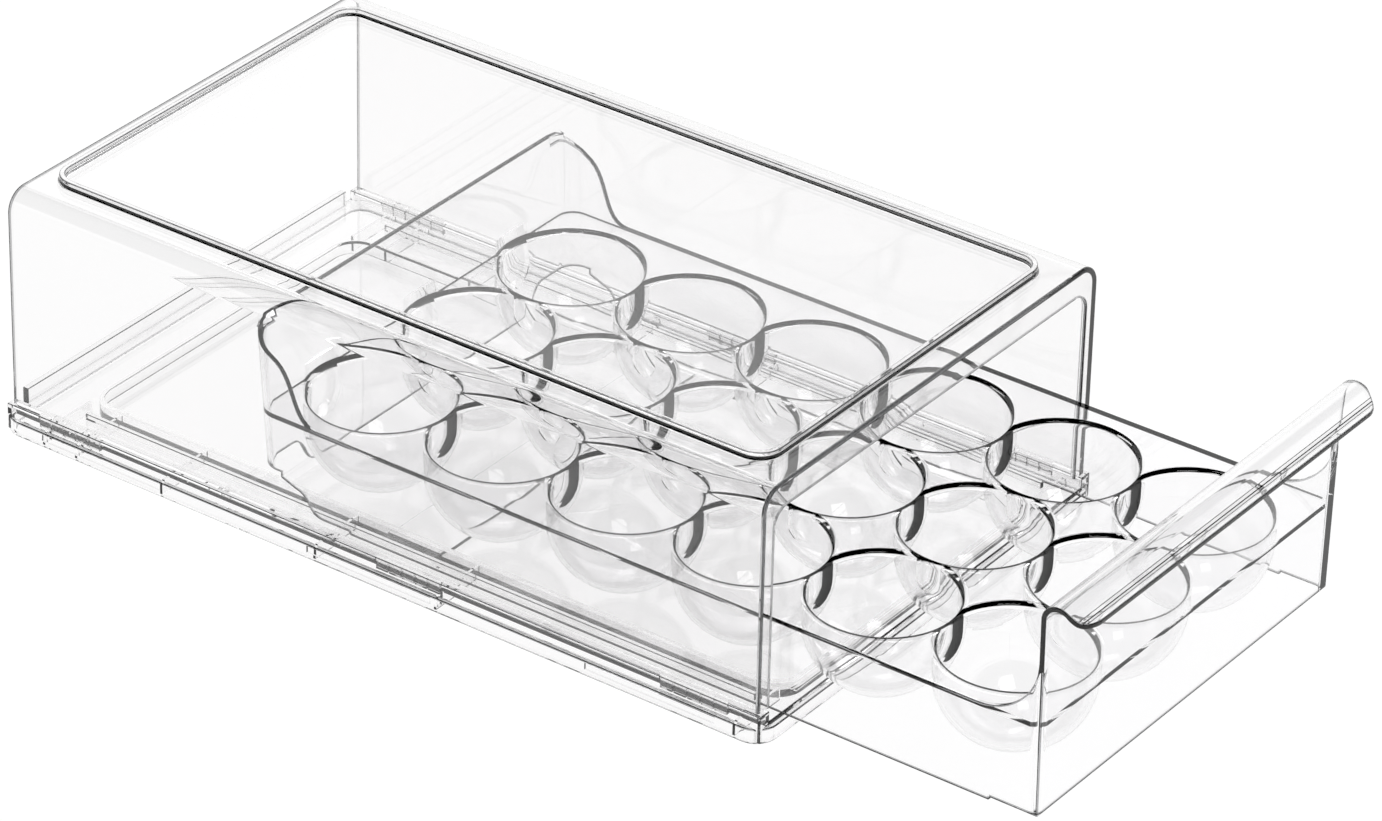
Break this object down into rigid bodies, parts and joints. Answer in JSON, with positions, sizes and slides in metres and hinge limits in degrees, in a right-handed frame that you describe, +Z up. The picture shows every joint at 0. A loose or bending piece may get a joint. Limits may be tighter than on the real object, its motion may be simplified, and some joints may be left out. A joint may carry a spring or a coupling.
{
  "type": "egg holder tray",
  "caption": "Clear stackable egg holder: a tray of round egg cups with a curled front handle slides in a hood that is snapped onto a shallow base.",
  "frame": {"origin": "centre of the base's flat underside, in line with the middle of the hood's length", "axes": "+Z up, the drawer opens towards -Y, X across the front, +X on the right of someone facing the front"},
  "size_m": [0.1924, 0.4255, 0.0936],
  "materials": {
    "base_clear": "polished clear",
    "hood_clear": "polished clear",
    "drawer_clear": "polished clear"
  },
  "bodies": {
    "housing": {"base_tray": "base_clear", "hood_cover": "hood_clear"},
    "drawer": {"drawer_front_handle": "drawer_clear", "drawer_side_left": "drawer_clear", "drawer_side_right": "drawer_clear", "drawer_rear_wall": "drawer_clear", "egg_cup_plate": "drawer_clear"}
  },
  "joints": [
    {"name": "drawer_slide", "type": "slide", "parent": "housing", "child": "drawer", "axis": [0, -1, 0], "range_m": [-0.097, 0.143]}
  ]
}
